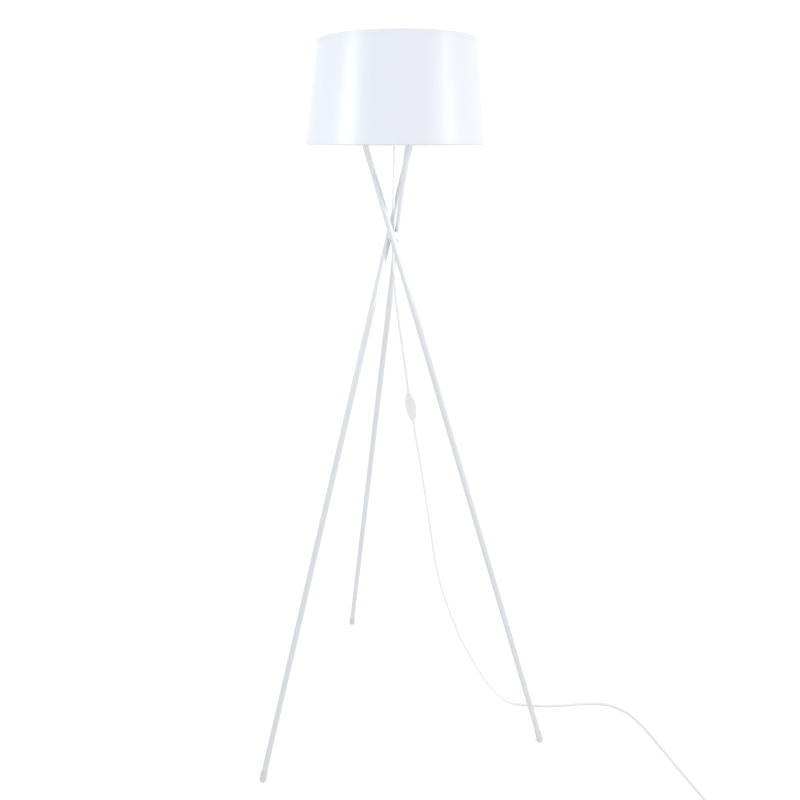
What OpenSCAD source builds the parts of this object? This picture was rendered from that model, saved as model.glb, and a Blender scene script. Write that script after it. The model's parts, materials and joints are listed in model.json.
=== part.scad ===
// Tripod floor lamp: three straight tubes that cross under a drum shade.
// Millimetres. Origin on the lamp's axis at floor level, +Z up, back foot towards +Y.

/* [Legs] */
// Radius of the circle through the three feet
foot_circle_r = 380; // [330:5:430]
// Height where the legs cross
crossing_z = 1176; // [1140:2:1200]
// Distance from the lamp's axis to each leg's axis at the crossing
crossing_r = 10.5; // [10.3:0.1:12]
// Outside diameter of the leg tube
leg_d = 13; // [11:0.5:13]
// Wall of the leg tube
leg_wall = 1; // [0.8:0.1:1.2]
// Length of each foot cap
foot_cap_l = 18; // [14:1:40]

/* [Shade] */
// Radius of the shade's bottom edge
shade_bottom_r = 188; // [180:1:200]
// Radius of the shade's top edge
shade_top_r = 162.5; // [150:0.5:175]
// Height of the shade's bottom edge above the floor
shade_bottom_z = 1365; // [1360:1:1370]
// Height of the shade
shade_h = 210; // [200:1:230]
// Thickness of the shade's outer skin
skin_t = 1; // [0.8:0.1:1.4]
// Thickness of the shade's inner liner
liner_t = 0.8; // [0.5:0.1:1]
// Diameter of the shade's ring wires and spider arms
wire_d = 3; // [2.5:0.1:3.2]

/* [Lampholder and bulb] */
// Height of the underside of the top bracket
bracket_z = 1408; // [1404:1:1410]
// Thickness of the top bracket
bracket_t = 3; // [2:0.5:3]
// Outside radius of the lampholder's sleeve
holder_r = 19; // [18:0.5:20]
// Diameter of the bulb's globe
globe_d = 60; // [56:1:64]

/* [Cord and switch] */
// Diameter of the round two-core cord
cord_d = 5.2; // [4.8:0.1:5.2]
// Length of the inline switch
switch_l = 60; // [56:1:62]
// Radius of the coil at the middle of its turns
coil_r = 29; // [27:0.5:31]

/* [Hidden] */

$fn = 64;
slot_gap = 0.05;        // gap between pieces of one body that touch
big = 2000;             // larger than the lamp, for cutting planes

white = [0.93, 0.94, 0.96];
soft_white = [0.95, 0.95, 0.94];
steel = [0.75, 0.76, 0.78];
brass = [0.83, 0.70, 0.42];
grey = [0.72, 0.73, 0.74];

// Legs: each lies along the local Z axis, which passes the lamp's axis at the crossing
foot_reach = sqrt(foot_circle_r * foot_circle_r - crossing_r * crossing_r);
leg_tilt = atan2(foot_reach, crossing_z);
left_leg = 210 - atan2(foot_reach, crossing_r);
right_leg = left_leg + 120;
back_leg = left_leg + 240;
leg_turns = [left_leg, right_leg, back_leg];
leg_r = leg_d / 2;
leg_bore_r = leg_r - leg_wall;
cap_r = leg_r + 0.8;
cap_flat_cut = 0.8;     // how far the round end would reach under the floor
cap_centre_s = -(crossing_z - cap_r + cap_flat_cut) / cos(leg_tilt);
leg_low_s = cap_centre_s + 1;
pad_r = 9;
pad_mid_z = bracket_z + bracket_t / 2 - pad_r * sin(leg_tilt);
leg_top_s = (pad_mid_z - crossing_z) / cos(leg_tilt) - bracket_t / 2;
leg_joint_s = (leg_low_s + leg_top_s) / 2;
plug_l = 22;
screw_d = 6;

// Shade
shade_top_z = shade_bottom_z + shade_h;
shade_slope = (shade_bottom_r - shade_top_r) / shade_h;
wire_r = wire_d / 2;
trim_t = 0.5;
trim_h = 9;
fitter_z = bracket_z + bracket_t + 30.1;
fitter_t = 2;
fitter_inner_r = holder_r + 0.5;
fitter_outer_r = holder_r + 14;
arm_z = fitter_z + fitter_t + wire_r;

// Lampholder, from the bracket's top upwards
holder_z = bracket_z + bracket_t;
cap_floor_t = 6;
sleeve_z = holder_z + 25;
sleeve_top_z = holder_z + 67;
sleeve_bore_r = holder_r - 2.5;
insert_z = holder_z + 29;
insert_t = 4;
shell_z = insert_z + insert_t;
shell_bore_r = 13.7;
nipple_r = 5;
nipple_bore_r = 3.4;

// Bulb, from its contact upwards
bulb_z = shell_z + 5.6;
bulb_cap_r = 13.1;
housing_z = bulb_z + 27;
globe_rim_z = bulb_z + 62;
globe_r = globe_d / 2;
globe_centre_z = globe_rim_z + 13;

// Inline switch: local X along the cord downwards, local Z out of the rocker's face
switch_at = [47, -8, 785];
cord_lean = 10;         // the cord's lean from the vertical at the switch
cord_plane = -10;       // direction of the vertical plane that the cord leans in
rocker_turn = -90;      // turn of the rocker's face about the cord, away from the front
switch_w = 23;
switch_low = 7;
switch_high = 11;
switch_end_high = 5.5;
pivot_z = 7.2;
rocker_rest = -7;
pin_d = 2;

// Cord
cord_r = cord_d / 2;
cord_sides = 10;
lead_top_z = holder_z + 12;
cord_start_z = bracket_z - 18;
relief_end_z = shade_bottom_z + 1;
coil_at = [565, -500];
coil_half_w = 5.4;
coil_z = 1;
coil_h = 16.4;
plug_axis_y = coil_at[1] - coil_r;
plug_relief_x = [505, 535];
plug_l_body = 36;
plug_mid_z = 7;
plug_pin_gap = 18.6;
pin_r = 2;
pin_root_r = 2.6;       // the pins' thicker root, held in the plug's body
pin_root_l = 8;

// The cord's line through the switch: where it meets the ends, and where each length stops
cord_dir = [
    sin(cord_lean) * cos(cord_plane), sin(cord_lean) * sin(cord_plane), -cos(cord_lean)
];
switch_in = switch_at - cord_dir * switch_l / 2;
switch_out = switch_at + cord_dir * switch_l / 2;
inner_in = switch_at - cord_dir * 21;
inner_out = switch_at + cord_dir * 21;

// Points that the cord passes, chosen by hand
upper_route = [
    [0, 0, 1390], [0, 0, 1340], [0, 0, 1260], [0, 0, 1176], [3, -1, 1095],
    [11, -2, 1020], [22, -4, 945], [33, -6, 875], switch_in, inner_in
];
lower_route = [
    inner_out, switch_out, [62, -11, 700], [76, -13, 625], [89, -15, 550], [101, -17, 475],
    [113, -19, 400], [131, -22, 325], [157, -27, 250], [188, -32, 175], [225, -39, 105],
    [262, -46, 48], [302, -54, 10], [345, -66, 3.6], [395, -79, 3], [445, -86, 3],
    [495, -90, 3], [545, -103, 3], [580, -140, 3], [592, -195, 3], [594, -260, 3],
    [594, -335, 3], [594, -410, 3], [594, -480, 3]
];

// Places a child on one leg, with Z along the leg and 0 at the crossing
module on_leg(turn) {
    rotate([0, 0, turn]) translate([crossing_r, 0, crossing_z]) rotate([leg_tilt, 0, 0]) children();
}

module each_leg() {
    for (turn = leg_turns) on_leg(turn) children();
}

// Places a child on the switch, in its local frame
module on_switch() {
    translate(switch_at) rotate([0, 0, cord_plane]) rotate([0, 90 - cord_lean, 0])
        rotate([rocker_turn, 0, 0]) children();
}

module tube(outer_r, inner_r, low, high) {
    translate([0, 0, low]) difference() {
        cylinder(r = outer_r, h = high - low);
        translate([0, 0, -1]) cylinder(r = inner_r, h = high - low + 2);
    }
}

module disc(r, low, high) {
    translate([0, 0, low]) cylinder(r = r, h = high - low);
}

// Solid of revolution from an outline of [radius, height] points
module turned(outline) {
    rotate_extrude($fn = 96) polygon(outline);
}

// Ring of round wire about the lamp's axis
module wire_ring(ring_r, z) {
    translate([0, 0, z]) rotate_extrude($fn = 96) translate([ring_r, 0]) circle(r = wire_r, $fn = 24);
}

// ---- legs ----
module leg_tube(turn, low, high) {
    color(white) on_leg(turn) tube(leg_r, leg_bore_r, low, high);
}

module foot_cap(turn) {
    color(grey) intersection() {
        on_leg(turn) difference() {
            translate([0, 0, cap_centre_s]) union() {
                sphere(r = cap_r, $fn = 48);
                cylinder(r = cap_r, h = foot_cap_l - 1);
                translate([0, 0, foot_cap_l - 1]) cylinder(r1 = cap_r, r2 = cap_r - 0.6, h = 1);
            }
            translate([0, 0, leg_low_s - slot_gap]) cylinder(r = leg_r + slot_gap, h = foot_cap_l + 10);
        }
        translate([-big / 2, -big / 2, 0]) cube([big, big, big]);
    }
}

module leg_joint_sockets() {
    color(steel) each_leg()
        tube(leg_bore_r - slot_gap, 4.1, leg_joint_s - plug_l - 3, leg_joint_s);
}

module leg_joint_studs() {
    color(steel) each_leg() union() {
        disc(leg_bore_r - slot_gap, leg_joint_s + slot_gap, leg_joint_s + plug_l);
        disc(4, leg_joint_s - plug_l + 3, leg_joint_s + 1);
    }
}

module leg_end_plugs() {
    color(steel) each_leg()
        tube(leg_bore_r - slot_gap, screw_d / 2 + slot_gap, leg_top_s - plug_l, leg_top_s);
}

module crossing_spacer() {
    spacer_h = 16;
    color(white) difference() {
        translate([0, 0, crossing_z - spacer_h / 2]) cylinder(r = 11.5, h = spacer_h);
        each_leg() cylinder(r = leg_r + slot_gap, h = 60, center = true);
        translate([0, 0, crossing_z]) cylinder(r = cord_r + 0.5, h = 2 * spacer_h, center = true);
    }
}

// ---- bracket and entry ----
// Side view of one arm, as [outwards, up]: level from the hub, then bent square to the leg
module bracket_arm() {
    arm_w = 14;
    half_t = bracket_t / 2;
    along_pad = [cos(leg_tilt), sin(leg_tilt)];
    square_to_pad = [-sin(leg_tilt), cos(leg_tilt)];
    pad_mid = [0, crossing_z] + (leg_top_s + half_t) * square_to_pad;
    bend_mid = pad_mid + pad_r * along_pad;
    mitre = half_t * [-tan(leg_tilt / 2), 1];
    pad_end = pad_mid + 4.5 * along_pad;
    side_view = [
        [-10, bracket_z], bend_mid - mitre, pad_end - half_t * square_to_pad,
        pad_end + half_t * square_to_pad, bend_mid + mitre, [-10, bracket_z + bracket_t]
    ];
    translate([crossing_r - arm_w / 2, 0, 0]) rotate([90, 0, 90])
        linear_extrude(height = arm_w) polygon(side_view);
}

module top_bracket() {
    color(white) union() {
        tube(28, nipple_r + 0.1, bracket_z, bracket_z + bracket_t);
        for (turn = leg_turns) rotate([0, 0, turn]) bracket_arm();
        each_leg() tube(pad_r, screw_d / 2 + 0.2, leg_top_s, leg_top_s + bracket_t);
    }
}

module bracket_screws() {
    color(steel) each_leg() translate([0, 0, leg_top_s + bracket_t]) difference() {
        union() {
            translate([0, 0, slot_gap]) cylinder(r1 = 5.2, r2 = 3.6, h = 3.2);
            translate([0, 0, -16]) cylinder(r = screw_d / 2, h = 16.5);
        }
        translate([0, 0, 1.4]) cylinder(d = 4 / cos(30), h = 3, $fn = 6);
    }
}

module threaded_nipple() {
    nipple_low = bracket_z - 14;
    color(steel) difference() {
        tube(nipple_r, nipple_bore_r, nipple_low, holder_z + 8);
        for (z = [nipple_low + 1 : 1 : holder_z + 7])
            translate([0, 0, z]) tube(nipple_r + 1, nipple_r - 0.25, 0, 0.4);
    }
}

module nipple_nut() {
    color(steel) difference() {
        translate([0, 0, bracket_z - 4.8]) cylinder(d = 14 / cos(30), h = 4, $fn = 6);
        translate([0, 0, bracket_z - 6]) cylinder(r = nipple_r + slot_gap, h = 8);
    }
}

module lock_washer() {
    color(steel) difference() {
        tube(9, nipple_r + slot_gap, bracket_z - 0.8, bracket_z);
        for (a = [0 : 30 : 330]) rotate([0, 0, a]) translate([7.4, -0.6, bracket_z - 2]) cube([3, 1.2, 4]);
    }
}

module cord_relief() {
    collar_top = bracket_z - 6;
    nipple_end = bracket_z - 14;
    color(soft_white) turned([
        [cord_r + 0.1, relief_end_z], [cord_r + 1.1, relief_end_z], [cord_r + 1.4, relief_end_z + 0.6],
        [6.4, nipple_end - 2], [7, nipple_end], [7, collar_top - 0.8], [6.2, collar_top],
        [nipple_r + slot_gap, collar_top], [nipple_r + slot_gap, nipple_end - slot_gap],
        [cord_r + 0.1, nipple_end - slot_gap]
    ]);
}

module inner_lead() {
    color(soft_white) disc(cord_r, cord_start_z, lead_top_z);
}

module lead_cores() {
    core_end = [7.6, 0, insert_z - 5.6];
    core_start = [1.4, 0, lead_top_z + 0.5];
    run = core_end - core_start;
    color(soft_white) for (side = [0, 180])
        rotate([0, 0, side]) translate(core_start) rotate([0, atan2(run[0], run[2]), 0])
            cylinder(r = 1, h = norm(run), $fn = 24);
}

// ---- lampholder ----
module holder_cap() {
    color(white) turned([
        [nipple_r + slot_gap, holder_z], [15, holder_z], [16.5, holder_z + 1.5], [16.5, holder_z + 7],
        [20.5, holder_z + 18], [20.5, sleeve_z - slot_gap], [18.2, sleeve_z - slot_gap],
        [18.2, holder_z + 18.6], [14.4, holder_z + 8], [14.4, holder_z + cap_floor_t],
        [nipple_r + slot_gap, holder_z + cap_floor_t]
    ]);
}

module cord_grip() {
    grip_z = holder_z + 9;
    color(soft_white) difference() {
        translate([-8, -5, grip_z]) cube([16, 10, 4 - slot_gap]);
        translate([0, 0, grip_z - 1]) cylinder(r = cord_r + 0.1, h = 8);
    }
}

module holder_sleeve() {
    flange_z = fitter_z - 3.1;
    color(white) difference() {
        turned([
            [sleeve_bore_r, sleeve_z - 5], [18, sleeve_z - 5], [18, sleeve_z], [20.5, sleeve_z],
            [20.5, flange_z], [23, flange_z], [23, fitter_z - 0.1], [holder_r, fitter_z - 0.1],
            [holder_r, sleeve_top_z - 1], [holder_r - 1, sleeve_top_z], [sleeve_bore_r, sleeve_top_z]
        ]);
        for (z = [fitter_z + 1 : 2.5 : sleeve_top_z - 3])
            translate([0, 0, z]) tube(holder_r + 1, holder_r - 0.5, 0, 1.1);
    }
}

module holder_insert() {
    color(soft_white) difference() {
        union() {
            disc(sleeve_bore_r - 0.1, insert_z, insert_z + insert_t);
            for (side = [-9, 9]) translate([side - 3.5, -4, insert_z - 4]) cube([7, 8, 4.5]);
        }
        for (side = [-9, 9]) translate([side, 0, insert_z - 5]) cylinder(r = 1.6, h = insert_t + 3.5);
    }
}

module terminal_screws() {
    color(brass) for (side = [-9, 9]) translate([side, 0, insert_z - 4.2]) difference() {
        union() {
            cylinder(r = 1.5, h = 6);
            translate([0, 0, -0.4]) cylinder(r = 2.6, h = 0.5);
        }
        translate([-3, -0.3, -1]) cube([6, 0.6, 1]);
    }
}

module holder_thread_shell() {
    color(brass) difference() {
        union() {
            tube(shell_bore_r + 0.5, shell_bore_r, shell_z + slot_gap, shell_z + 26);
            for (z = [shell_z + 4 : 3.6 : shell_z + 23]) tube(shell_bore_r + 0.9, shell_bore_r, z, z + 1.6);
        }
        for (a = [0, 120, 240]) rotate([0, 0, a]) translate([shell_bore_r - 3, -1.5, shell_z + 20])
            cube([6, 3, 3]);
    }
}

module holder_contact() {
    strip = [[-9, 0.1], [-3, 0.1], [1, 4.2], [5, 4.7], [5, 5.3], [0.6, 4.8], [-3.4, 0.7], [-9, 0.7]];
    color(brass) translate([0, 3, shell_z]) rotate([90, 0, 0]) linear_extrude(height = 6) polygon(strip);
}

module shade_ring_nut() {
    ring_low = fitter_z + fitter_t + 0.2;
    color(white) difference() {
        tube(fitter_outer_r - 6, holder_r + 0.15, ring_low, ring_low + 7);
        for (a = [0 : 20 : 340]) rotate([0, 0, a]) translate([fitter_outer_r - 5.4, 0, ring_low - 1])
            cylinder(r = 1.4, h = 9, $fn = 24);
    }
}

// ---- bulb ----
module bulb_contact() {
    color(grey) turned([
        [0, bulb_z], [3.2, bulb_z], [4.5, bulb_z + 0.8], [4.5, bulb_z + 1.6], [0, bulb_z + 1.6]
    ]);
}

module bulb_insulator() {
    low = bulb_z + 1.6 + slot_gap;
    color("black") turned([[0, low], [4.6, low], [11, bulb_z + 6], [11, bulb_z + 6.6], [0, bulb_z + 6.6]]);
}

module bulb_cap() {
    low = bulb_z + 6.7;
    color(steel) difference() {
        union() {
            tube(bulb_cap_r - 0.5, bulb_cap_r - 1.1, low, housing_z);
            for (z = [low + 1.5 : 3.6 : housing_z - 3]) tube(bulb_cap_r, bulb_cap_r - 1, z, z + 1.9);
            tube(bulb_cap_r - 0.5, 9, low, low + 0.6);
        }
        disc(9, low - 1, low + 2);
    }
}

module bulb_housing() {
    low = housing_z + slot_gap;
    color(soft_white) turned([
        [0, low], [13.4, low], [13.8, low + 2], [16, low + 8], [22, low + 20], [27, low + 31],
        [28, globe_rim_z], [26.2, globe_rim_z], [25, low + 30.4], [19.5, low + 19], [13.5, low + 8],
        [0, low + 7]
    ]);
}

module led_board() {
    board_z = globe_rim_z - 3.5;
    color(soft_white) disc(24.5, board_z, board_z + 1.6);
    color([0.95, 0.85, 0.4]) for (a = [0 : 45 : 315])
        rotate([0, 0, a]) translate([14.2, -2.2, board_z + 1.4]) cube([4.4, 4.4, 1]);
}

module bulb_globe() {
    wall = 1.2;
    color(soft_white) translate([0, 0, globe_centre_z]) difference() {
        sphere(r = globe_r, $fn = 72);
        sphere(r = globe_r - wall, $fn = 72);
        translate([0, 0, globe_rim_z - globe_centre_z - big + slot_gap])
            cylinder(r = globe_r + 5, h = big);
    }
}

// ---- shade ----
function shade_r(z) = shade_bottom_r - (z - shade_bottom_z) * shade_slope;

// Shell of the shade's cone between two depths under its surface
module shade_wall(depth_out, depth_in, low, high) {
    turned([
        [shade_r(low) - depth_in, low], [shade_r(low) - depth_out, low],
        [shade_r(high) - depth_out, high], [shade_r(high) - depth_in, high]
    ]);
}

skin_depth = trim_t;
liner_depth = skin_depth + skin_t + slot_gap;
wall_depth = liner_depth + liner_t;
wire_depth = wall_depth + trim_t + slot_gap + wire_r + 0.2;
bottom_wire_z = shade_bottom_z + trim_t + wire_r + 0.3;
top_wire_z = shade_top_z - trim_t - wire_r - 0.3;

module shade_skin() {
    color(white) shade_wall(skin_depth, skin_depth + skin_t,
        shade_bottom_z + trim_t, shade_top_z - trim_t);
}

module shade_liner() {
    color(soft_white) shade_wall(liner_depth, wall_depth, shade_bottom_z + trim_t, shade_top_z - trim_t);
}

module shade_top_wire() {
    color(white) wire_ring(shade_r(top_wire_z) - wire_depth, top_wire_z);
}

module shade_bottom_wire() {
    color(white) wire_ring(shade_r(bottom_wire_z) - wire_depth, bottom_wire_z);
}

// Tape folded over an edge: a skirt outside, a flat over the edge and a skirt inside
module rim_trim(edge, inwards) {
    far = edge + inwards * trim_h;
    outside_low = min(edge, far);
    outside_high = max(edge, far);
    inside_low = min(edge, edge + inwards * 7);
    inside_high = max(edge, edge + inwards * 7);
    flat_low = min(edge, edge + inwards * (trim_t - slot_gap));
    flat_high = max(edge, edge + inwards * (trim_t - slot_gap));
    union() {
        shade_wall(0, skin_depth - slot_gap, outside_low, outside_high);
        shade_wall(0, wall_depth + trim_t, flat_low, flat_high);
        shade_wall(wall_depth + slot_gap, wall_depth + trim_t, inside_low, inside_high);
    }
}

module shade_top_trim() {
    color(white) rim_trim(shade_top_z, -1);
}

module shade_bottom_trim() {
    color(white) rim_trim(shade_bottom_z, 1);
}

// One arm: out from the fitter ring, round a bend and down the inside of the shade
module spider_arm() {
    bend_r = 10;
    bend_lap = 0.3;
    lean = atan(shade_slope);
    arm_clear = wall_depth + wire_r + 1.4;
    bend_x = shade_r(arm_z) - arm_clear - bend_r;
    drop = arm_z - bend_r - bottom_wire_z - wire_r - 0.6;
    translate([fitter_outer_r - 5, 0, arm_z]) rotate([0, 90, 0])
        cylinder(r = wire_r, h = bend_x - fitter_outer_r + 5 + bend_lap, $fn = 24);
    translate([bend_x, 0, arm_z - bend_r]) rotate([90, 0, 0])
        rotate_extrude(angle = 90 - lean, start = lean, $fn = 64)
            translate([bend_r, 0]) circle(r = wire_r + 0.03, $fn = 24);
    translate([bend_x + bend_r * cos(lean), 0, arm_z - bend_r + bend_r * sin(lean)])
        rotate([0, 180 - lean, 0]) translate([0, 0, -bend_lap])
            cylinder(r = wire_r, h = drop / cos(lean) + bend_lap, $fn = 24);
}

module shade_spider_arms() {
    color(white) for (a = [60, 180, 300]) rotate([0, 0, a]) spider_arm();
}

module shade_fitter_ring() {
    color(white) tube(fitter_outer_r, fitter_inner_r, fitter_z, fitter_z + fitter_t);
}

// ---- inline switch ----
// Flat outline with two long arcs: the part where two circles overlap
module lens(half_l, half_w) {
    arc_r = (half_l * half_l + half_w * half_w) / (2 * half_w);
    intersection() {
        translate([0, arc_r - half_w]) circle(r = arc_r, $fn = 160);
        translate([0, half_w - arc_r]) circle(r = arc_r, $fn = 160);
    }
}

// Closed block with the switch's outer shape, smaller all round by inset
module switch_block(inset) {
    arc_rise = switch_high - switch_end_high;
    half_l = switch_l / 2;
    arc_r = (half_l * half_l + arc_rise * arc_rise) / (2 * arc_rise);
    intersection() {
        translate([0, 0, inset - switch_low]) linear_extrude(height = switch_low + switch_high)
            intersection() {
                lens(half_l + 8 - inset, switch_w / 2 - inset);
                square([switch_l - 2 * inset, switch_w], center = true);
            }
        translate([0, 0, switch_high - inset - arc_r]) rotate([90, 0, 0])
            cylinder(r = arc_r, h = switch_w, center = true, $fn = 200);
    }
}

module switch_bore() {
    rotate([0, 90, 0]) cylinder(r = cord_r + 0.15, h = switch_l + 4, center = true, $fn = 32);
}

module switch_half(low, high) {
    intersection() {
        difference() {
            switch_block(0);
            switch_block(1.6);
            switch_bore();
        }
        translate([-switch_l, -switch_w, low]) cube([2 * switch_l, 2 * switch_w, high - low]);
    }
}

switch_screw_at = [[-19, -5], [19, -5]];

module switch_base() {
    color(soft_white) on_switch() difference() {
        union() {
            switch_half(-switch_low, -slot_gap / 2);
            for (p = switch_screw_at) translate([p[0], p[1], -switch_low + 1]) cylinder(r = 2.9, h = 4.4);
        }
        for (p = switch_screw_at) translate([p[0], p[1], -switch_low - 1]) {
            cylinder(r = 1.3, h = 8);
            cylinder(r = 2.1, h = 3.4);
        }
    }
}

module switch_cover() {
    color(soft_white) on_switch() difference() {
        union() {
            switch_half(slot_gap / 2, switch_high);
            for (y = [-8.2, 6.2]) translate([-2.2, y, 4.4]) cube([4.4, 2, 5]);
            for (p = switch_screw_at) translate([p[0], p[1], 1]) cylinder(r = 2.1, h = 6);
        }
        translate([-8.8, -5.8, 2]) cube([17.6, 11.6, switch_high]);
        translate([0, 0, pivot_z]) rotate([90, 0, 0])
            cylinder(d = pin_d + 0.1, h = 15, center = true, $fn = 32);
        for (p = switch_screw_at) translate([p[0], p[1], 0]) cylinder(r = 1.05, h = 5.4);
    }
}

module switch_rocker() {
    half = 8.2;
    w = 10.6;
    color(white) on_switch() translate([0, 0, pivot_z]) rotate([0, rocker_rest, 0]) difference() {
        intersection() {
            translate([-half, -w / 2, -2.6]) cube([2 * half, w, 9]);
            union() {
                translate([-half, -w / 2, 0.8]) cube([2 * half, w, 8]);
                rotate([90, 0, 0]) cylinder(r = 2.6, h = w, center = true);
            }
            translate([0, 0, -20]) rotate([90, 0, 0]) cylinder(r = 24.6, h = w + 2, center = true, $fn = 120);
        }
        translate([0, 0, 26.8]) rotate([90, 0, 0]) cylinder(r = 23, h = w + 2, center = true, $fn = 120);
        rotate([90, 0, 0]) cylinder(d = pin_d + 0.1, h = w + 2, center = true, $fn = 32);
    }
}

module switch_pin() {
    color(steel) on_switch() translate([0, 0, pivot_z]) rotate([90, 0, 0])
        cylinder(d = pin_d, h = 14.6, center = true, $fn = 32);
}

module switch_terminals() {
    color(brass) on_switch() for (x = [-15.5, 11.5]) difference() {
        translate([x, 3.2, -4.5]) cube([4, 3.6, 7]);
        translate([x - 1, 5, -1]) rotate([0, 90, 0]) cylinder(r = 1, h = 6, $fn = 24);
    }
}

module switch_blade() {
    color(brass) on_switch() translate([-14, 4, 2.6]) cube([28, 2, 0.5]);
}

module switch_screws() {
    color(steel) on_switch() for (p = switch_screw_at) translate([p[0], p[1], -switch_low + 0.5])
        difference() {
            union() {
                cylinder(r = 2, h = 1.8);
                cylinder(r = 1, h = 11);
            }
            translate([-1.5, -0.25, -0.5]) cube([3, 0.5, 1]);
            translate([-0.25, -1.5, -0.5]) cube([0.5, 3, 1]);
        }
}

// ---- cord ----
// Smooth curve through four points, at a share t of the way from b to c
function blend_at(a, b, c, d, t) =
    0.5 * (2 * b + (c - a) * t + (2 * a - 5 * b + 4 * c - d) * t * t
    + (3 * b - a - 3 * c + d) * t * t * t);

// Points along a route, with a number of steps between each two of its points
function along(route, steps) = [
    for (i = [0 : len(route) - 2], k = [0 : steps - 1])
        blend_at(
            i == 0 ? 2 * route[0] - route[1] : route[i - 1],
            route[i],
            route[i + 1],
            i == len(route) - 2 ? 2 * route[i + 1] - route[i] : route[i + 2],
            k / steps
        ),
    route[len(route) - 1]
];

function unit(v) = v / norm(v);

function heading(path, i) =
    unit(path[min(i + 1, len(path) - 1)] - path[max(i - 1, 0)]);

// Ring of points round a path, square to it; the slanted reference is never along the path
function ring_at(path, i, r, sides) =
    let (t = heading(path, i), u = unit(cross(t, [1, 1, 1])), v = cross(t, u))
    [for (k = [0 : sides - 1]) path[i] + r * (cos(360 * k / sides) * u + sin(360 * k / sides) * v)];

module swept(path, r, sides) {
    count = len(path);
    points = [for (i = [0 : count - 1]) each ring_at(path, i, r, sides)];
    walls = [
        for (i = [0 : count - 2], k = [0 : sides - 1])
            let (n = (k + 1) % sides)
            each [
                [i * sides + k, i * sides + n, (i + 1) * sides + n],
                [i * sides + k, (i + 1) * sides + n, (i + 1) * sides + k]
            ]
    ];
    start = [for (k = [sides - 1 : -1 : 0]) k];
    end = [for (k = [0 : sides - 1]) (count - 1) * sides + k];
    polyhedron(points, concat(walls, [start, end]), convexity = 6);
}

module cord_upper() {
    color(soft_white) swept(along(upper_route, 3), cord_r, cord_sides);
}

module cord_lower() {
    color(soft_white) swept(along(lower_route, 2), cord_r, cord_sides);
}

// The coil's turns as one ring, and the short tail from it to the plug
module cord_coil() {
    corner = 1.6;
    w = 2 * coil_half_w;
    section = [
        [corner, 0], [w - corner, 0], [w, corner], [w, coil_h - corner],
        [w - corner, coil_h], [corner, coil_h], [0, coil_h - corner], [0, corner]
    ];
    tail_end_x = plug_relief_x[1] - 0.4;
    color(soft_white) union() {
        translate([coil_at[0], coil_at[1], coil_z]) rotate_extrude($fn = 96)
            translate([coil_r - coil_half_w, 0]) polygon(section);
        translate([tail_end_x, plug_axis_y, plug_mid_z]) rotate([0, 90, 0])
            cylinder(r = cord_r, h = coil_at[0] - tail_end_x);
    }
}

module coil_tie() {
    wall = 0.8;
    inner_w = 2 * coil_half_w + 1;
    inner_h = coil_h + 0.2;
    tie_l = 9;
    color("black") translate([coil_at[0], coil_at[1], coil_z - 0.1]) rotate([0, 0, 140])
        translate([coil_r - 0.25, 0, 0]) difference() {
            translate([-inner_w / 2 - wall, -tie_l / 2, -wall])
                cube([inner_w + 2 * wall, tie_l, inner_h + 2 * wall]);
            translate([-inner_w / 2, -tie_l, 0]) cube([inner_w, 2 * tie_l, inner_h]);
        }
}

// ---- plug ----
module plug_body() {
    half_w = 15.2;
    half_h = 6.9;
    round_r = 4;
    outline = [
        [0, -half_w], [13, -half_w], [19, -12.6], [25, -8.4], [plug_l_body, -6.6],
        [plug_l_body, 6.6], [25, 8.4], [19, 12.6], [13, half_w], [0, half_w]
    ];
    color(soft_white) translate([plug_relief_x[0] - plug_l_body, plug_axis_y, plug_mid_z]) difference() {
        intersection() {
            translate([0, 0, -half_h]) linear_extrude(height = 2 * half_h) polygon(outline);
            rotate([90, 0, 90]) linear_extrude(height = plug_l_body) union() {
                square([2 * half_w, 2 * (half_h - round_r)], center = true);
                square([2 * (half_w - round_r), 2 * half_h], center = true);
                for (y = [-1, 1], z = [-1, 1])
                    translate([y * (half_w - round_r), z * (half_h - round_r)]) circle(r = round_r);
            }
        }
        for (y = [-1, 1]) translate([-1, y * plug_pin_gap / 2, 0]) rotate([0, 90, 0])
            cylinder(r = pin_root_r + slot_gap, h = pin_root_l + 1.1);
    }
}

module plug_relief() {
    low = plug_relief_x[0] + 2 * slot_gap;
    color(soft_white) translate([low, plug_axis_y, plug_mid_z]) rotate([0, 90, 0])
        rotate_extrude() polygon([
            [0, 0], [5.6, 0], [5.6, 3], [4.6, 3], [4.6, 5], [5.2, 5], [5.2, 8], [4.3, 8], [4.3, 10],
            [4.8, 10], [4.8, 13], [4, 13], [4, 15], [4.4, 15], [4.4, 18], [3.8, 18], [3.8, 20],
            [4.1, 20], [3.6, 29.5], [0, 29.5]
        ]);
}

module plug_pins() {
    plug_face_x = plug_relief_x[0] - plug_l_body;
    pin_out = 19;
    color(steel) for (y = [-1, 1]) translate([plug_face_x, plug_axis_y + y * plug_pin_gap / 2, plug_mid_z])
        rotate([0, -90, 0]) union() {
            translate([0, 0, -pin_root_l]) cylinder(r = pin_root_r, h = pin_root_l);
            cylinder(r = pin_r, h = pin_out - 1.5);
            translate([0, 0, pin_out - 1.5]) cylinder(r1 = pin_r, r2 = pin_r - 1, h = 1.5);
        }
}

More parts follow.
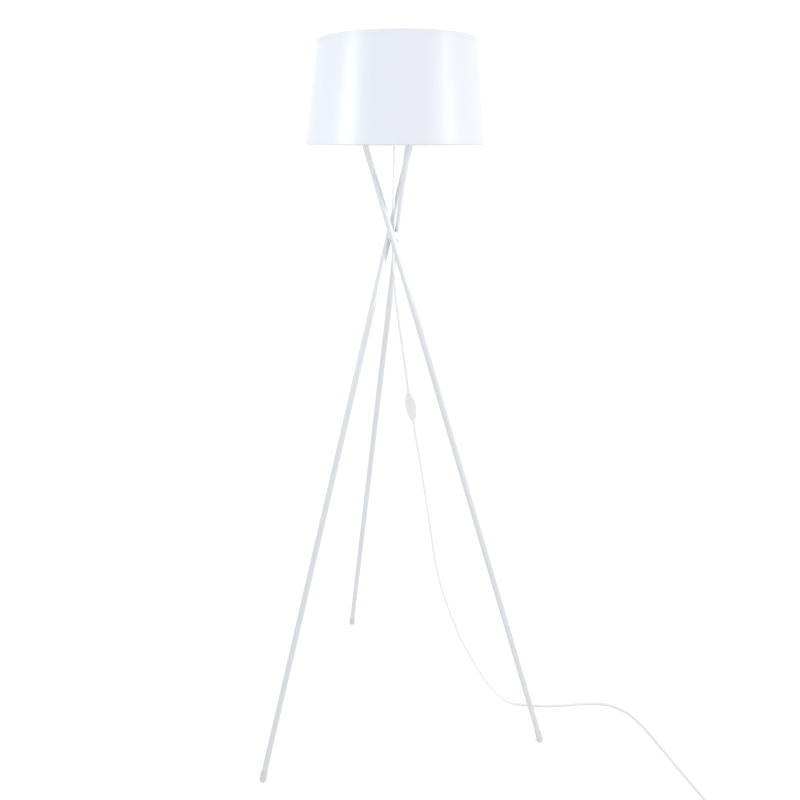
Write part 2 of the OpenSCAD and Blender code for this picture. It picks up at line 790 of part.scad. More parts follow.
leg_tube(left_leg, leg_low_s, leg_joint_s - slot_gap);  // leg_lower_left
leg_tube(right_leg, leg_low_s, leg_joint_s - slot_gap);  // leg_lower_right
leg_tube(back_leg, leg_low_s, leg_joint_s - slot_gap);  // leg_lower_back
leg_tube(left_leg, leg_joint_s, leg_top_s);  // leg_upper_left
leg_tube(right_leg, leg_joint_s, leg_top_s);  // leg_upper_right
leg_tube(back_leg, leg_joint_s, leg_top_s);  // leg_upper_back
leg_joint_sockets();
leg_joint_studs();
leg_end_plugs();
foot_cap(left_leg);  // foot_cap_left
foot_cap(right_leg);  // foot_cap_right
foot_cap(back_leg);  // foot_cap_back
crossing_spacer();
top_bracket();
bracket_screws();
threaded_nipple();
nipple_nut();
lock_washer();
cord_relief();
inner_lead();
lead_cores();
holder_cap();
cord_grip();
holder_sleeve();
holder_insert();
terminal_screws();
holder_thread_shell();
holder_contact();
shade_ring_nut();
bulb_contact();
bulb_insulator();
bulb_cap();
bulb_housing();
led_board();
bulb_globe();
shade_skin();
shade_liner();
shade_top_wire();
shade_bottom_wire();
shade_top_trim();
shade_bottom_trim();
shade_spider_arms();
shade_fitter_ring();
switch_base();
switch_cover();
switch_rocker();
switch_pin();
switch_terminals();
switch_blade();
switch_screws();
cord_upper();
cord_lower();
cord_coil();
coil_tie();
plug_body();
plug_relief();
plug_pins();
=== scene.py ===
"""Looks of a tripod floor lamp with a drum shade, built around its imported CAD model. Metres, +Z up."""

import json
import math

import bmesh
import bpy
from mathutils import Matrix, Vector


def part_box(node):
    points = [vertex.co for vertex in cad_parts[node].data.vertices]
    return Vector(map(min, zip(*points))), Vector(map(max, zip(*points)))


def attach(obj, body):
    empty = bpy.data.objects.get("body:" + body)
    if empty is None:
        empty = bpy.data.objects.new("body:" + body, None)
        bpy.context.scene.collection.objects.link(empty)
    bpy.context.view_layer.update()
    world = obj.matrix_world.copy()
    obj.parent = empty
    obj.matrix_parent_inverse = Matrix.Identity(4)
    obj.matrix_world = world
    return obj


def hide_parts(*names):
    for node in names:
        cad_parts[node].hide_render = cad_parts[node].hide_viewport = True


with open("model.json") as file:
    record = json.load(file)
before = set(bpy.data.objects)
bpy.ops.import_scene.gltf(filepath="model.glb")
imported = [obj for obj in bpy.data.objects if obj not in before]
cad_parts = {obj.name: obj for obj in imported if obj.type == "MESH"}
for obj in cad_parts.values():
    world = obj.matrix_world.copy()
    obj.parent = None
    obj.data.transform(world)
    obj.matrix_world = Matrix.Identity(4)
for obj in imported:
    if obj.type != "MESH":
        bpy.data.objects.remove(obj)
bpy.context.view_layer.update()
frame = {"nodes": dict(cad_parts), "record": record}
NODES = frame["nodes"]
MM = 0.001


# ---------- places taken from the frame ----------
def size_of(node):
    low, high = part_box(node)
    return high - low


def middle_of(node):
    low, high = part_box(node)
    return (low + high) / 2


SHADE_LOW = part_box("shade_bottom_trim")[0].z
SHADE_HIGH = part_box("shade_top_trim")[1].z
SHADE_BOTTOM_R = size_of("shade_bottom_trim").x / 2
SHADE_TOP_R = size_of("shade_top_trim").x / 2
SHADE_SLOPE = (SHADE_BOTTOM_R - SHADE_TOP_R) / (SHADE_HIGH - SHADE_LOW)


# ---------- camera, floor and light ----------
CAMERA_AT = (-0.476, -1.7275, 1.353)
CAMERA_DOWN = 13.52  # degrees below level
CAMERA_RIGHT = 11.18  # degrees to the right of +Y
DIM_SIDE = (0.80, 0.82, 0.85, 1)
WORLD_STRENGTH = 1.12  # with FLOOR_TONE, just enough for a pure white ground in the camera's view
FLOOR_TONE = 0.97
FLOOR_DROP = 0.0004  # keeps the floor clear of the feet and the cord
SHADE_MIDDLE = (0, 0, 1.45)
AT_CROSSING = (0, 0, 1.19)


def add_camera():
    """The photo's camera, fitted to the feet, the crossings and the shade's edges."""
    data = bpy.data.cameras.new("camera")
    data.sensor_width = 36
    data.lens = 36.9
    data.shift_x = 0.085
    data.shift_y = -0.065
    data.clip_end = 100
    camera = bpy.data.objects.new("camera", data)
    camera.location = CAMERA_AT
    camera.rotation_euler = (math.radians(90 - CAMERA_DOWN), 0, math.radians(-CAMERA_RIGHT))
    bpy.context.scene.collection.objects.link(camera)
    bpy.context.scene.camera = camera


def add_light(name, kind, place, target, watts):
    """A light at place that shines towards target."""
    data = bpy.data.lights.new(name, kind)
    data.energy = watts
    light = bpy.data.objects.new(name, data)
    light.location = place
    light.rotation_euler = (Vector(target) - Vector(place)).to_track_quat("-Z", "Y").to_euler()
    bpy.context.scene.collection.objects.link(light)
    return light


def add_softbox(name, place, target, width, height, watts):
    light = add_light(name, "AREA", place, target, watts)
    light.data.shape = "RECTANGLE"
    light.data.size = width
    light.data.size_y = height
    light.visible_camera = False


def add_spot(name, place, target, half_angle, watts):
    light = add_light(name, "SPOT", place, target, watts)
    light.data.spot_size = 2 * math.radians(half_angle)
    light.data.spot_blend = 0.7
    light.data.shadow_soft_size = 0.08


def add_world():
    """White all round, a little dimmer to the left, so that the tubes keep a shaded side."""
    world = bpy.data.worlds.new("studio")
    bpy.context.scene.world = world
    world.use_nodes = True
    nodes, links = world.node_tree.nodes, world.node_tree.links
    background = nodes["Background"]
    coords = nodes.new("ShaderNodeTexCoord")
    split = nodes.new("ShaderNodeSeparateXYZ")
    ramp = nodes.new("ShaderNodeValToRGB")
    spread = nodes.new("ShaderNodeMapRange")
    spread.inputs["From Min"].default_value = -1
    spread.inputs["From Max"].default_value = 1
    for element, position, colour in zip(ramp.color_ramp.elements, (0.14, 0.34), (DIM_SIDE, (1, 1, 1, 1))):
        element.position = position
        element.color = colour
    links.new(coords.outputs["Generated"], split.inputs[0])
    links.new(split.outputs["X"], spread.inputs["Value"])
    links.new(spread.outputs[0], ramp.inputs[0])
    links.new(ramp.outputs[0], background.inputs["Color"])
    background.inputs["Strength"].default_value = WORLD_STRENGTH


def add_floor():
    bpy.ops.mesh.primitive_plane_add(size=60, location=(0, 0, -FLOOR_DROP))
    floor = bpy.context.object
    floor.name = "floor"
    mat = bpy.data.materials.new("floor_white")
    mat.use_nodes = True
    bsdf = mat.node_tree.nodes["Principled BSDF"]
    bsdf.inputs["Base Color"].default_value = (FLOOR_TONE, FLOOR_TONE, FLOOR_TONE, 1)
    bsdf.inputs["Roughness"].default_value = 0.7
    bsdf.inputs["Specular IOR Level"].default_value = 0.1
    floor.data.materials.append(mat)


def add_studio():
    """Two strips make the shade's bands, a spot brightens the tubes at their crossing, and a glow fills the
    shade's inside."""
    bpy.context.scene.view_settings.view_transform = "Standard"
    add_world()
    add_floor()
    add_softbox("left_strip", (-1.15, -0.33, 1.45), SHADE_MIDDLE, 0.28, 1.0, 3.4)
    add_softbox("right_strip", (0.94, -0.74, 1.20), (0, 0, 1.2), 0.30, 1.5, 3.2)
    add_spot("crossing_light", (1.25, -0.85, 1.0), AT_CROSSING, 6.6, 52)
    add_softbox("shade_glow", (0, 0, 1.48), (0, 0, 0), 0.2, 0.2, 0.2)


# ---------- cord ----------
CORD_R = size_of("inner_lead").x / 2
RELIEF_END = Vector((0, 0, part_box("cord_relief")[0].z))
SWITCH_AT = Vector((0.047, -0.008, 0.785))
CORD_LEAN = math.radians(10)  # off upright, where it runs through the switch
CORD_PLANE = math.radians(-10)  # which way it leans, from +X
CORD_DIR = Vector((
    math.sin(CORD_LEAN) * math.cos(CORD_PLANE),
    math.sin(CORD_LEAN) * math.sin(CORD_PLANE),
    -math.cos(CORD_LEAN),
))
COIL_AT = Vector((0.565, -0.500, 0))
COIL_TURNS = 5
COIL_STEPS = 20
COIL_R_OUT = 0.0317
COIL_R_IN = 0.0263
COIL_LAYERS = (0.0037, 0.0092, 0.0147)
PLUG_MID_Z = middle_of("plug_body").z
HALF_SWITCH = 0.030
INNER_SWITCH = 0.015
INTO_RELIEF = 0.006
INTO_PLUG = 0.010
TINY = 1e-9

UPPER_ROUTE = [
    (0, 0, 1.340), (0, 0, 1.260), (0, 0, 1.176), (0.003, -0.001, 1.095),
    (0.011, -0.002, 1.020), (0.022, -0.004, 0.945), (0.033, -0.006, 0.875),
]
LOWER_ROUTE = [
    (0.062, -0.011, 0.700), (0.076, -0.013, 0.625), (0.089, -0.015, 0.550),
    (0.101, -0.017, 0.475), (0.113, -0.019, 0.400), (0.131, -0.022, 0.325),
    (0.157, -0.027, 0.250), (0.188, -0.032, 0.175), (0.225, -0.039, 0.105),
    (0.262, -0.046, 0.048), (0.302, -0.054, 0.010), (0.345, -0.066, 0.0036),
    (0.395, -0.079, 0.003), (0.445, -0.086, 0.003), (0.495, -0.090, 0.003),
    (0.545, -0.103, 0.003), (0.580, -0.140, 0.003), (0.592, -0.195, 0.003),
    (0.594, -0.260, 0.003), (0.594, -0.335, 0.003), (0.595, -0.410, 0.003),
    (0.596, -0.460, 0.0032),
]


def smooth(share):
    share = max(0.0, min(1.0, share))
    return share * share * (3 - 2 * share)


def coil_points():
    """Clockwise turns in two columns and three layers. Each turn moves on to the next cell at its own place, so
    that the cell it moves to is always free there."""
    cells = [
        (COIL_R_OUT, COIL_LAYERS[0]), (COIL_R_IN, COIL_LAYERS[0]), (COIL_R_IN, COIL_LAYERS[1]),
        (COIL_R_IN, COIL_LAYERS[2]), (COIL_R_OUT, COIL_LAYERS[2]), (COIL_R_OUT, COIL_LAYERS[1]),
    ]
    shift_from, shift_by = 110, 50  # degrees: where the last full turn moves on, and how long each move is
    points = []
    for i in range(COIL_TURNS * COIL_STEPS + COIL_STEPS // 4 + 1):
        turn, part = divmod(i, COIL_STEPS)
        degrees = 360 * part / COIL_STEPS
        start = shift_from + shift_by * (COIL_TURNS - 1 - turn)
        share = smooth((degrees - start) / shift_by) if turn < COIL_TURNS else 0
        here, there = cells[turn], cells[min(turn + 1, len(cells) - 1)]
        radius = here[0] + (there[0] - here[0]) * share
        height = here[1] + (there[1] - here[1]) * share
        angle = -math.radians(degrees)
        points.append(COIL_AT + Vector((radius * math.cos(angle), radius * math.sin(angle), height)))
    return points


def cord_route():
    """From the strain relief through the switch, over the floor, round the coil and into the plug."""
    tail_y = middle_of("plug_relief").y
    tail_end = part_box("plug_relief")[1].x
    through = [SWITCH_AT + CORD_DIR * s for s in (-HALF_SWITCH, -INNER_SWITCH, INNER_SWITCH, HALF_SWITCH)]
    tail = [
        (COIL_AT.x - 0.012, COIL_AT.y - COIL_R_OUT, 0.0086),
        (tail_end + 0.006, tail_y, PLUG_MID_Z),
        (tail_end - INTO_PLUG, tail_y, PLUG_MID_Z),
    ]
    start = RELIEF_END + Vector((0, 0, INTO_RELIEF))
    points = [start, *UPPER_ROUTE, *through, *LOWER_ROUTE, *coil_points(), *tail]
    return [Vector(p) for p in points]


def add_cord():
    """One open curve whose handles follow its neighbours, as the CAD sweep's own curve does."""
    points = cord_route()
    data = bpy.data.curves.new("cord", "CURVE")
    data.dimensions = "3D"
    data.resolution_u = 8
    data.bevel_depth = CORD_R
    data.bevel_resolution = 5
    data.use_fill_caps = True
    spline = data.splines.new("BEZIER")
    spline.bezier_points.add(len(points) - 1)
    for i, p in enumerate(points):
        before, after = points[max(i - 1, 0)], points[min(i + 1, len(points) - 1)]
        tangent = (after - before) / 6
        bezier = spline.bezier_points[i]
        bezier.handle_left_type = bezier.handle_right_type = "FREE"
        reach_back = min(1, (p - before).length / max(tangent.length * 3, TINY)) if i else 1
        reach_on = min(1, (after - p).length / max(tangent.length * 3, TINY))
        bezier.co = p
        bezier.handle_left = p - tangent * min(1, reach_back * 2)
        bezier.handle_right = p + tangent * min(1, reach_on * 2)
    cord = bpy.data.objects.new("cord", data)
    bpy.context.scene.collection.objects.link(cord)
    return cord


# ---------- materials ----------
class Graph:
    """A material's node tree, with short ways to add what most of them share."""

    def __init__(self, name, **sockets):
        self.mat = bpy.data.materials.new(name)
        self.mat.use_nodes = True
        self.nodes = self.mat.node_tree.nodes
        self.links = self.mat.node_tree.links
        self.bsdf = self.nodes["Principled BSDF"]
        self.at = self.nodes.new("ShaderNodeTexCoord").outputs["Object"]
        for socket, value in sockets.items():
            self.bsdf.inputs[socket.replace("_", " ")].default_value = value

    def new(self, kind, **settings):
        node = self.nodes.new(kind)
        for key, value in settings.items():
            setattr(node, key, value)
        return node

    def link(self, output, socket):
        self.links.new(output, socket)

    def math(self, operation, a, b=0.0, c=None):
        node = self.new("ShaderNodeMath", operation=operation)
        for socket, value in zip(node.inputs, (a, b, c)):
            if value is None:
                continue
            if isinstance(value, (int, float)):
                socket.default_value = value
            else:
                self.link(value, socket)
        return node.outputs[0]

    def stretched(self, x, y, z):
        node = self.new("ShaderNodeMapping")
        node.inputs["Scale"].default_value = (x, y, z)
        self.link(self.at, node.inputs["Vector"])
        return node.outputs[0]

    def noise(self, scale, detail, vector=None):
        node = self.new("ShaderNodeTexNoise")
        node.inputs["Scale"].default_value = scale
        node.inputs["Detail"].default_value = detail
        node.inputs["Roughness"].default_value = 0.55
        self.link(vector or self.at, node.inputs["Vector"])
        return node.outputs["Fac"]

    def spread(self, value, low, high, from_low=0.3, from_high=0.7):
        node = self.new("ShaderNodeMapRange")
        self.link(value, node.inputs["Value"])
        for socket, number in zip(("From Min", "From Max", "To Min", "To Max"),
                                  (from_low, from_high, low, high)):
            node.inputs[socket].default_value = number
        return node.outputs[0]

    def mix(self, factor, a, b):
        """Two colours mixed by factor."""
        node = self.new("ShaderNodeMix", data_type="RGBA")
        self.link(factor, node.inputs["Factor"])
        node.inputs["A"].default_value = (*a, 1)
        node.inputs["B"].default_value = (*b, 1)
        return node.outputs["Result"]

    def colour(self, output):
        self.link(output, self.bsdf.inputs["Base Color"])

    def rough(self, output):
        self.link(output, self.bsdf.inputs["Roughness"])

    def bump(self, height, distance, strength=1.0):
        node = self.new("ShaderNodeBump")
        node.inputs["Distance"].default_value = distance
        node.inputs["Strength"].default_value = strength
        self.link(height, node.inputs["Height"])
        previous = self.bsdf.inputs["Normal"].links
        if previous:
            self.link(previous[0].from_socket, node.inputs["Normal"])
        self.link(node.outputs[0], self.bsdf.inputs["Normal"])


def shifted(colour, amount):
    return tuple(max(0.0, min(1.0, c * (1 + amount))) for c in colour)


def moulded(name, colour, rough, vary, grain, depth, uneven=0.07, **sockets):
    """Painted or moulded surface: slow colour drift, uneven gloss and a fine grain."""
    g = Graph(name, **sockets)
    drift = g.noise(9, 4)
    g.colour(g.mix(g.spread(drift, 0, 1), shifted(colour, -vary), shifted(colour, vary)))
    g.rough(g.spread(g.noise(60, 5), rough - uneven, rough + uneven))
    g.bump(g.noise(grain, 2), depth)
    return g


def powder_coat(name, colour):
    g = moulded(name, colour, rough=0.25, vary=0.012, grain=1400, depth=0.000008, uneven=0.015,
                Specular_IOR_Level=0.6)
    g.bump(g.noise(260, 2), 0.000006)
    return g.mat


def metal(name, colour, rough, along, vary=0.06):
    """Bare metal with fine streaks, drawn out by the scale along each axis."""
    g = Graph(name, Metallic=1.0)
    streaks = g.noise(500, 3, vector=g.stretched(*along))
    g.colour(g.mix(g.spread(g.noise(40, 4), 0, 1), shifted(colour, -vary), shifted(colour, vary)))
    g.rough(g.spread(streaks, rough - 0.07, rough + 0.1))
    g.bump(streaks, 0.00002)
    return g.mat


def around_axis(g):
    """Distance round the lamp's axis and height, in metres, for threads that follow the shade."""
    split = g.new("ShaderNodeSeparateXYZ")
    g.link(g.at, split.inputs[0])
    turn = g.math("ARCTAN2", split.outputs["Y"], split.outputs["X"])
    return g.math("MULTIPLY", turn, (SHADE_TOP_R + SHADE_BOTTOM_R) / 2), split.outputs["Z"]


def threads(g, distance, pitch):
    """A rounded thread every pitch metres along distance, from 0 to 1."""
    wave = g.math("SINE", g.math("MULTIPLY", distance, 2 * math.pi / pitch))
    return g.math("MULTIPLY_ADD", wave, 0.5, 0.5)


def fibres(g, round_by, height, per_metre_round, per_metre_up):
    """Noise drawn out along one set of threads, as uneven yarn looks."""
    at = g.new("ShaderNodeCombineXYZ")
    g.link(g.math("MULTIPLY", round_by, per_metre_round), at.inputs["X"])
    g.link(g.math("MULTIPLY", height, per_metre_up), at.inputs["Y"])
    return g.noise(1.0, 2, vector=at.outputs[0])


SATIN = {"Specular_IOR_Level": 0.6, "Coat_Weight": 0.9, "Coat_IOR": 1.8, "Coat_Roughness": 0.35}
CLOTH_PITCH = 0.00045


def satin_cloth(name, colour):
    """Fine plain weave whose coat gives the soft upright bands of the strip lights."""
    g = Graph(name, **SATIN)
    round_by, height = around_axis(g)
    warp = threads(g, round_by, CLOTH_PITCH)
    weft = threads(g, height, CLOTH_PITCH)
    slub = fibres(g, round_by, height, 14, 900)
    streak = fibres(g, round_by, height, 700, 9)
    tone = g.math("ADD", g.math("MULTIPLY", slub, 0.5), g.math("MULTIPLY", streak, 0.5))
    g.colour(g.mix(g.spread(tone, 0, 1, 0.35, 0.65), shifted(colour, -0.018), shifted(colour, 0.012)))
    g.rough(g.spread(tone, 0.34, 0.44, 0.35, 0.65))
    weave = g.math("MAXIMUM", g.math("MULTIPLY", warp, 0.8), weft)
    g.bump(weave, 0.00004, 0.6)
    g.bump(slub, 0.00006, 0.5)
    return g.mat


def folded_tape(name, colour):
    g = Graph(name, **SATIN)
    round_by, height = around_axis(g)
    ribs = threads(g, round_by, 0.0009)
    fine = threads(g, height, 0.0005)
    g.colour(g.mix(g.spread(g.noise(120, 4), 0, 1), shifted(colour, -0.03), shifted(colour, 0.01)))
    g.rough(g.spread(g.noise(300, 3), 0.5, 0.65))
    g.bump(g.math("ADD", ribs, g.math("MULTIPLY", fine, 0.4)), 0.00004, 0.5)
    return g.mat


def cord_jacket(name, colour):
    g = moulded(name, colour, rough=0.42, vary=0.02, grain=700, depth=0.00003)
    g.bump(g.noise(90, 2), 0.00012, 0.5)
    return g.mat


def opal(name):
    g = moulded(name, (0.86, 0.86, 0.845), rough=0.32, vary=0.01, grain=1500, depth=0.00002,
                Subsurface_Weight=0.3, Subsurface_Scale=0.004)
    g.bsdf.inputs["Subsurface Radius"].default_value = (1.0, 0.9, 0.8)
    return g.mat


def strap_weave(name, colour):
    g = Graph(name, Sheen_Weight=0.4, Sheen_Roughness=0.5)
    hooks = g.new("ShaderNodeTexVoronoi")
    hooks.inputs["Scale"].default_value = 2200
    g.link(g.at, hooks.inputs["Vector"])
    g.colour(g.mix(g.spread(hooks.outputs["Distance"], 0, 1, 0.0, 0.8), shifted(colour, 0.6), colour))
    g.rough(g.spread(g.noise(400, 3), 0.7, 0.9))
    g.bump(hooks.outputs["Distance"], 0.0002, 0.8)
    return g.mat


WHITE_PAINT = (0.585, 0.605, 0.63)
COOL_CLOTH = (0.655, 0.685, 0.73)
NEUTRAL_WHITE = (0.72, 0.72, 0.71)


def make_materials():
    """One material for each slot of the record. The numbers are moulded's rough, vary, grain and depth, and
    metal's rough, along and vary."""
    return {
        "leg_paint": powder_coat("leg_paint", WHITE_PAINT),
        "bracket_paint": powder_coat("bracket_paint", shifted(WHITE_PAINT, 0.02)),
        "foot_plastic": moulded("foot_plastic", (0.575, 0.575, 0.57), 0.55, 0.04, 500, 0.00006).mat,
        "zinc_steel": metal("zinc_steel", (0.80, 0.805, 0.815), 0.3, (1, 1, 12)),
        "cord_jacket": cord_jacket("cord_jacket", shifted(NEUTRAL_WHITE, 0.02)),
        "relief_plastic": moulded("relief_plastic", NEUTRAL_WHITE, 0.5, 0.02, 700, 0.00004).mat,
        "holder_plastic": moulded("holder_plastic", NEUTRAL_WHITE, 0.3, 0.015, 1100, 0.00002).mat,
        "ceramic_white": moulded("ceramic_white", (0.80, 0.79, 0.75), 0.55, 0.04, 900, 0.00006).mat,
        "brass_contact": metal("brass_contact", (0.80, 0.60, 0.28), 0.28, (1, 1, 6), 0.1),
        "lamp_metal": metal("lamp_metal", NEUTRAL_WHITE, 0.25, (1, 1, 8)),
        "black_insulator": moulded("black_insulator", (0.012, 0.012, 0.014), 0.12, 0.3, 300, 0.00002).mat,
        "bulb_plastic": moulded("bulb_plastic", (0.76, 0.76, 0.75), 0.38, 0.015, 1200, 0.00002).mat,
        "board_white": moulded("board_white", (0.78, 0.80, 0.76), 0.45, 0.04, 700, 0.00003).mat,
        "opal_globe": opal("opal_globe"),
        "shade_cloth": satin_cloth("shade_cloth", COOL_CLOTH),
        "shade_liner": moulded("shade_liner", (0.78, 0.785, 0.79), 0.45, 0.015, 500, 0.00003).mat,
        "shade_tape": folded_tape("shade_tape", COOL_CLOTH),
        "switch_plastic": moulded("switch_plastic", NEUTRAL_WHITE, 0.33, 0.015, 1000, 0.00003).mat,
        "tie_black": strap_weave("tie_black", (0.02, 0.02, 0.022)),
        "plug_nickel": metal("plug_nickel", (0.70, 0.69, 0.67), 0.18, (9, 1, 1)),
    }


WELD_GAP = 0.000003
SMOOTH_UNDER = math.radians(28)  # CAD edges sharper than this stay sharp
BEVEL_OVER = math.radians(35)
OWN_SMOOTH_UNDER = math.radians(40)


def soft_shading():
    """Node group that welds a CAD mesh and shades it smooth, with its real edges kept sharp."""
    tree = bpy.data.node_groups.new("soft_shading", "GeometryNodeTree")
    tree.interface.new_socket("Geometry", in_out="INPUT", socket_type="NodeSocketGeometry")
    tree.interface.new_socket("Geometry", in_out="OUTPUT", socket_type="NodeSocketGeometry")
    nodes, links = tree.nodes, tree.links
    source, result = nodes.new("NodeGroupInput"), nodes.new("NodeGroupOutput")
    weld = nodes.new("GeometryNodeMergeByDistance")
    weld.inputs["Distance"].default_value = WELD_GAP
    plain = nodes.new("GeometryNodeRemoveAttribute")
    plain.inputs["Name"].default_value = "custom_normal"
    smooth_faces = nodes.new("GeometryNodeSetShadeSmooth")
    smooth_faces.domain = "FACE"
    sharp_edges = nodes.new("GeometryNodeSetShadeSmooth")
    sharp_edges.domain = "EDGE"
    sharp_edges.inputs["Shade Smooth"].default_value = False
    angle = nodes.new("GeometryNodeInputMeshEdgeAngle")
    is_edge = nodes.new("FunctionNodeCompare")
    is_edge.data_type = "FLOAT"
    is_edge.operation = "GREATER_THAN"
    is_edge.inputs[1].default_value = SMOOTH_UNDER
    links.new(angle.outputs["Unsigned Angle"], is_edge.inputs[0])
    links.new(is_edge.outputs[0], sharp_edges.inputs["Selection"])
    chain = [source, weld, plain, smooth_faces, sharp_edges, result]
    for before, after in zip(chain, chain[1:]):
        links.new(before.outputs[0], after.inputs[0])
    return tree


# How wide the soft edge of each moulded or pressed piece is, in millimetres.
ROUNDED = {
    "switch_base": 0.9, "switch_cover": 0.9, "switch_rocker": 0.5, "plug_body": 1.6, "plug_relief": 0.3,
    "plug_pins": 0.3, "top_bracket": 0.5, "shade_ring_nut": 0.4, "holder_cap": 0.5, "holder_sleeve": 0.15,
    "nipple_nut": 0.3, "bracket_screws": 0.25, "shade_fitter_ring": 0.4, "crossing_spacer": 0.5,
    "foot_cap_left": 0.3, "foot_cap_right": 0.3, "foot_cap_back": 0.3, "cord_relief": 0.3, "cord_grip": 0.4,
    "bulb_housing": 0.3, "holder_insert": 0.3,
}


def dress_cad(materials):
    """Each CAD node gets its slot's material and smooth shading; moulded and pressed ones get soft edges."""
    slots = {part["node"]: part["material_slot"] for part in frame["record"]["subparts"]}
    shading = soft_shading()
    for name, node in NODES.items():
        node.data.materials.clear()
        node.data.materials.append(materials[slots[name]])
        if name in ROUNDED:
            weld = node.modifiers.new("weld", "WELD")
            weld.merge_threshold = WELD_GAP
            bevel = node.modifiers.new("soft_edges", "BEVEL")
            bevel.width = ROUNDED[name] * MM
            bevel.segments = 3
            bevel.limit_method = "ANGLE"
            bevel.angle_limit = BEVEL_OVER
        node.modifiers.new("soft_shading", "NODES").node_group = shading


# ---------- mesh helpers ----------
def add_mesh(name, bm, material, body):
    """A piece of its own, that moves with body and shows slot's material."""
    mesh = bpy.data.meshes.new(name)
    bmesh.ops.recalc_face_normals(bm, faces=bm.faces)
    bm.to_mesh(mesh)
    bm.free()
    mesh.materials.append(material)
    mesh.shade_smooth()
    mesh.set_sharp_from_angle(angle=OWN_SMOOTH_UNDER)
    obj = bpy.data.objects.new(name, mesh)
    bpy.context.scene.collection.objects.link(obj)
    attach(obj, body)
    return obj


def wall_r(z):
    """Outer radius of the shade's trims at a height."""
    return SHADE_BOTTOM_R - (z - SHADE_LOW) * SHADE_SLOPE


# ---------- shade ----------
TAPE_T = 0.00028
CLOTH_T = 0.0008
FILM_T = 0.0005
LINED_T = TAPE_T + 1.2 * CLOTH_T + CLOTH_T / 2  # room for a tape, the cloth and its lap, outside the film
SKIRT_OUT = 0.009
SKIRT_IN = 0.007
LAP_LIFT = 1.15  # how far a lapped end moves aside, as a share of its thickness
TAPE_UNEVEN = 0.00003
CLOTH_LAP = 0.012
FILM_LAP = 0.010
TAPE_LAP = 0.014
SEAM = {"cloth": 75, "film": 81, "top": 96, "bottom": 99}  # degrees round from +X


def offset_path(path, distance):
    """Path of (radius, height) moved to its left by distance."""
    moved = []
    for i, (r, z) in enumerate(path):
        before, after = path[max(i - 1, 0)], path[min(i + 1, len(path) - 1)]
        dr, dz = after[0] - before[0], after[1] - before[1]
        length = math.hypot(dr, dz)
        moved.append((r - dz / length * distance, z + dr / length * distance))
    return moved


def pucker(angle):
    """Slight unevenness of glued tape, as a share from -1 to 1."""
    return (math.sin(23 * angle + 1.3) + math.sin(61 * angle) * math.sin(7 * angle + 0.4)) / 2


def lapped_ring(path, thick, seam, lap, steps=240, uneven=0.0):
    """Strip with the section of path, bent round the shade once. Its last lap metres move to the path's left, clear
    of its start; seam is where it starts."""
    bm = bmesh.new()
    lap_angle = lap / SHADE_BOTTOM_R
    total = 2 * math.pi + lap_angle
    rings = []
    for i in range(steps + 1):
        turned = total * i / steps
        lift = thick * LAP_LIFT * smooth((turned - 2 * math.pi + lap_angle * 0.5) / (lap_angle * 0.6))
        lift += uneven * pucker(turned)
        section = offset_path(path, lift - thick / 2) + offset_path(path, lift + thick / 2)[::-1]
        a = math.radians(seam) + turned
        rings.append([bm.verts.new((r * math.cos(a), r * math.sin(a), z)) for r, z in section])
    count = len(rings[0])
    for one, two in zip(rings, rings[1:]):
        for k in range(count):
            n = (k + 1) % count
            bm.faces.new((one[k], one[n], two[n], two[k]))
    half = count // 2
    for ring in (rings[0], rings[-1]):
        for k in range(half - 1):
            bm.faces.new((ring[k], ring[k + 1], ring[count - 2 - k], ring[count - 1 - k]))
    return bm


def wall_path(low, high, depth, rows):
    """Straight path down the shade's wall, at a depth under the trims' surface; its left side is outside."""
    heights = [high + (low - high) * k / rows for k in range(rows + 1)]
    return [(wall_r(z) - depth, z) for z in heights]


def add_shade_cloth(materials):
    """The cone of cloth, with its end lapped over its start at the back and glued."""
    low, high = SHADE_LOW + TAPE_T, SHADE_HIGH - TAPE_T
    path = wall_path(low, high, TAPE_T + CLOTH_T / 2, 14)
    bm = lapped_ring(path, CLOTH_T, SEAM["cloth"], CLOTH_LAP)
    cloth = add_mesh("shade_cloth", bm, materials["shade_cloth"], "shade")
    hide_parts("shade_skin")


def add_shade_film(materials):
    """The stiff white film that the cloth is bonded to, lapped a little further round."""
    path = wall_path(SHADE_LOW + TAPE_T, SHADE_HIGH - TAPE_T, LINED_T + FILM_T, 4)
    bm = lapped_ring(path, FILM_T, SEAM["film"], FILM_LAP)
    film = add_mesh("shade_film", bm, materials["shade_liner"], "shade")
    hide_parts("shade_liner")


def tape_path(edge, inwards):
    """Section of a tape folded over the shade's edge, outside and inside; its left side faces the cloth."""
    depth_in = LINED_T + 2 * FILM_T
    fold_r = depth_in / 2
    outside = [(wall_r(edge + inwards * d) - TAPE_T / 2, edge + inwards * d)
               for d in (SKIRT_OUT, SKIRT_OUT * 0.66, SKIRT_OUT * 0.33, fold_r)]
    middle = wall_r(edge) - fold_r
    fold = []
    for turned in (30, 60, 90, 120, 150):
        a = math.radians(turned)
        fold.append((middle + fold_r * math.cos(a), edge + inwards * (fold_r - fold_r * math.sin(a))))
    inside = [(wall_r(edge + inwards * d) - depth_in, edge + inwards * d)
              for d in (fold_r, SKIRT_IN * 0.5, SKIRT_IN)]
    path = outside + fold + inside
    return path if inwards < 0 else path[::-1]


def add_shade_tapes(materials):
    """Woven tape folded over both edges, its end tucked under its start near the cloth's seam."""
    for name, edge, inwards in (("top", SHADE_HIGH, -1), ("bottom", SHADE_LOW, 1)):
        path = tape_path(edge, inwards)
        bm = lapped_ring(path, TAPE_T, SEAM[name], TAPE_LAP, 360, TAPE_UNEVEN)
        tape = add_mesh(f"shade_{name}_tape", bm, materials["shade_tape"], "shade")
        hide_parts(f"shade_{name}_trim")


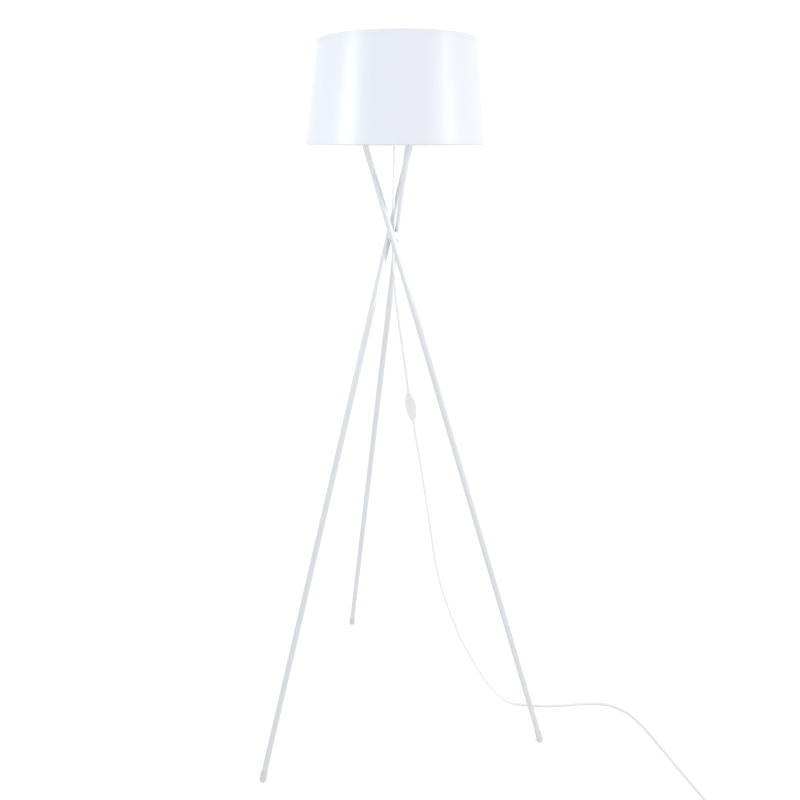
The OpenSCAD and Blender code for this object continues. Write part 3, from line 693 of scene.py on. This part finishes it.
# ---------- coil tie ----------
def add_coil_tie(materials):
    """Hook-and-loop strap wound once round the turns, its end lapped over its start."""
    low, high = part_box("coil_tie")
    width, thick, half_w, bend = 0.009, 0.0008, 0.0063, 0.003
    bottom, top = low.z + thick / 2, high.z - thick / 2
    turn_at, out_by = math.radians(140), 0.02875
    corners = [(half_w, bottom, -90), (half_w, top, 0), (-half_w, top, 90), (-half_w, bottom, 180)]
    mid = (bottom + top) / 2
    loop = [(half_w, mid - 0.004)]
    for x, z, start in corners[1:] + corners[:1]:
        cx = x - math.copysign(bend, x)
        cz = z - math.copysign(bend, z - mid)
        loop += [(cx + bend * math.cos(math.radians(start + a)), cz + bend * math.sin(math.radians(start + a)))
                 for a in (0, 22.5, 45, 67.5, 90)]
    loop.append(loop[0])
    lap = [(half_w, mid + 0.002), (half_w, top - bend), *loop[2:6], (0.001, loop[5][1])]
    path = loop + lap
    section = [(-1, -0.3), (-0.96, -0.5), (0.96, -0.5), (1, -0.3), (1, 0.3), (0.96, 0.5), (-0.96, 0.5), (-1, 0.3)]
    count = len(section)
    bm = bmesh.new()
    rings = []
    for i, (x, z) in enumerate(path):
        share = smooth((i - len(loop) + 2) / 2)
        before, after = path[max(i - 1, 0)], path[min(i + 1, len(path) - 1)]
        dx, dz = after[0] - before[0], after[1] - before[1]
        length = math.hypot(dx, dz)
        out_x, out_z = dz / length, -dx / length
        lift = share * thick * 1.1
        ring = []
        for side, level in section:
            depth = lift + level * thick
            local = Vector((x + out_x * depth + out_by, side * width / 2, z + out_z * depth))
            ring.append(bm.verts.new(COIL_AT + Matrix.Rotation(turn_at, 3, "Z") @ local))
        rings.append(ring)
    for one, two in zip(rings, rings[1:]):
        for k in range(count):
            n = (k + 1) % count
            bm.faces.new((one[k], one[n], two[n], two[k]))
    bm.faces.new(rings[0])
    bm.faces.new(rings[-1][::-1])
    tie = add_mesh("coil_strap", bm, materials["tie_black"], "frame")
    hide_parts("coil_tie")
    return tie


def main():
    add_camera()
    cord = add_cord()
    materials = make_materials()
    cord.data.materials.append(materials["cord_jacket"])
    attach(cord, "frame")
    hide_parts("cord_upper", "cord_lower", "cord_coil")
    tie = add_coil_tie(materials)
    dress_cad(materials)
    add_shade_cloth(materials)
    add_shade_film(materials)
    add_shade_tapes(materials)
    add_studio()


main()
